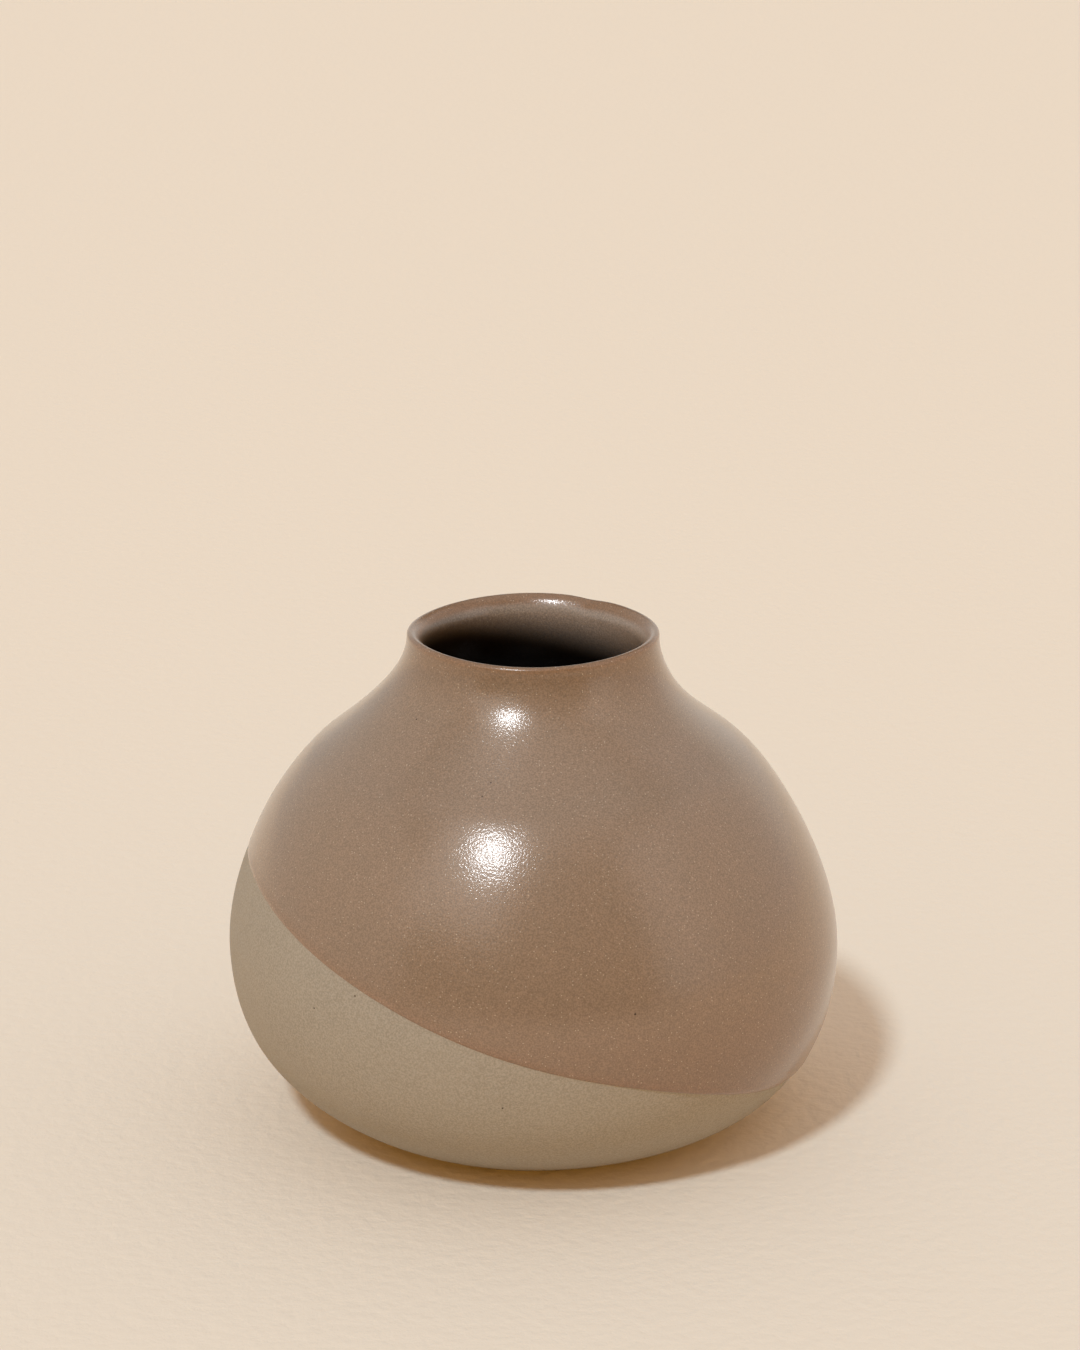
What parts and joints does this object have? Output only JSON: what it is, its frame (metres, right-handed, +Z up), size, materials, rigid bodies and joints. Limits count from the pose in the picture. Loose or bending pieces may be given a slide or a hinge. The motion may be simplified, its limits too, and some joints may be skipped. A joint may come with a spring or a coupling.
{
  "type": "vase",
  "caption": "Squat hand-thrown porcelain bud vase with a full belly, short open neck, glazed inside and dipped outside to a slanting glaze line.",
  "frame": {"origin": "centre of the foot ring, on the surface that the vase stands on", "axes": "+Z up through the mouth; -X is the side where the edge of the outer glaze is highest; +Y is the side away from the picture's viewer"},
  "size_m": [0.0898, 0.0903, 0.0737],
  "materials": {
    "bare_porcelain": "matte warm grey",
    "dip_glaze": "semi-gloss warm taupe with a fine pale speckle",
    "liner_glaze": "semi-gloss grey taupe"
  },
  "bodies": {
    "root": {"porcelain_body": "bare_porcelain", "dip_glaze_coat": "dip_glaze", "liner_glaze_coat": "liner_glaze"}
  },
  "joints": []
}
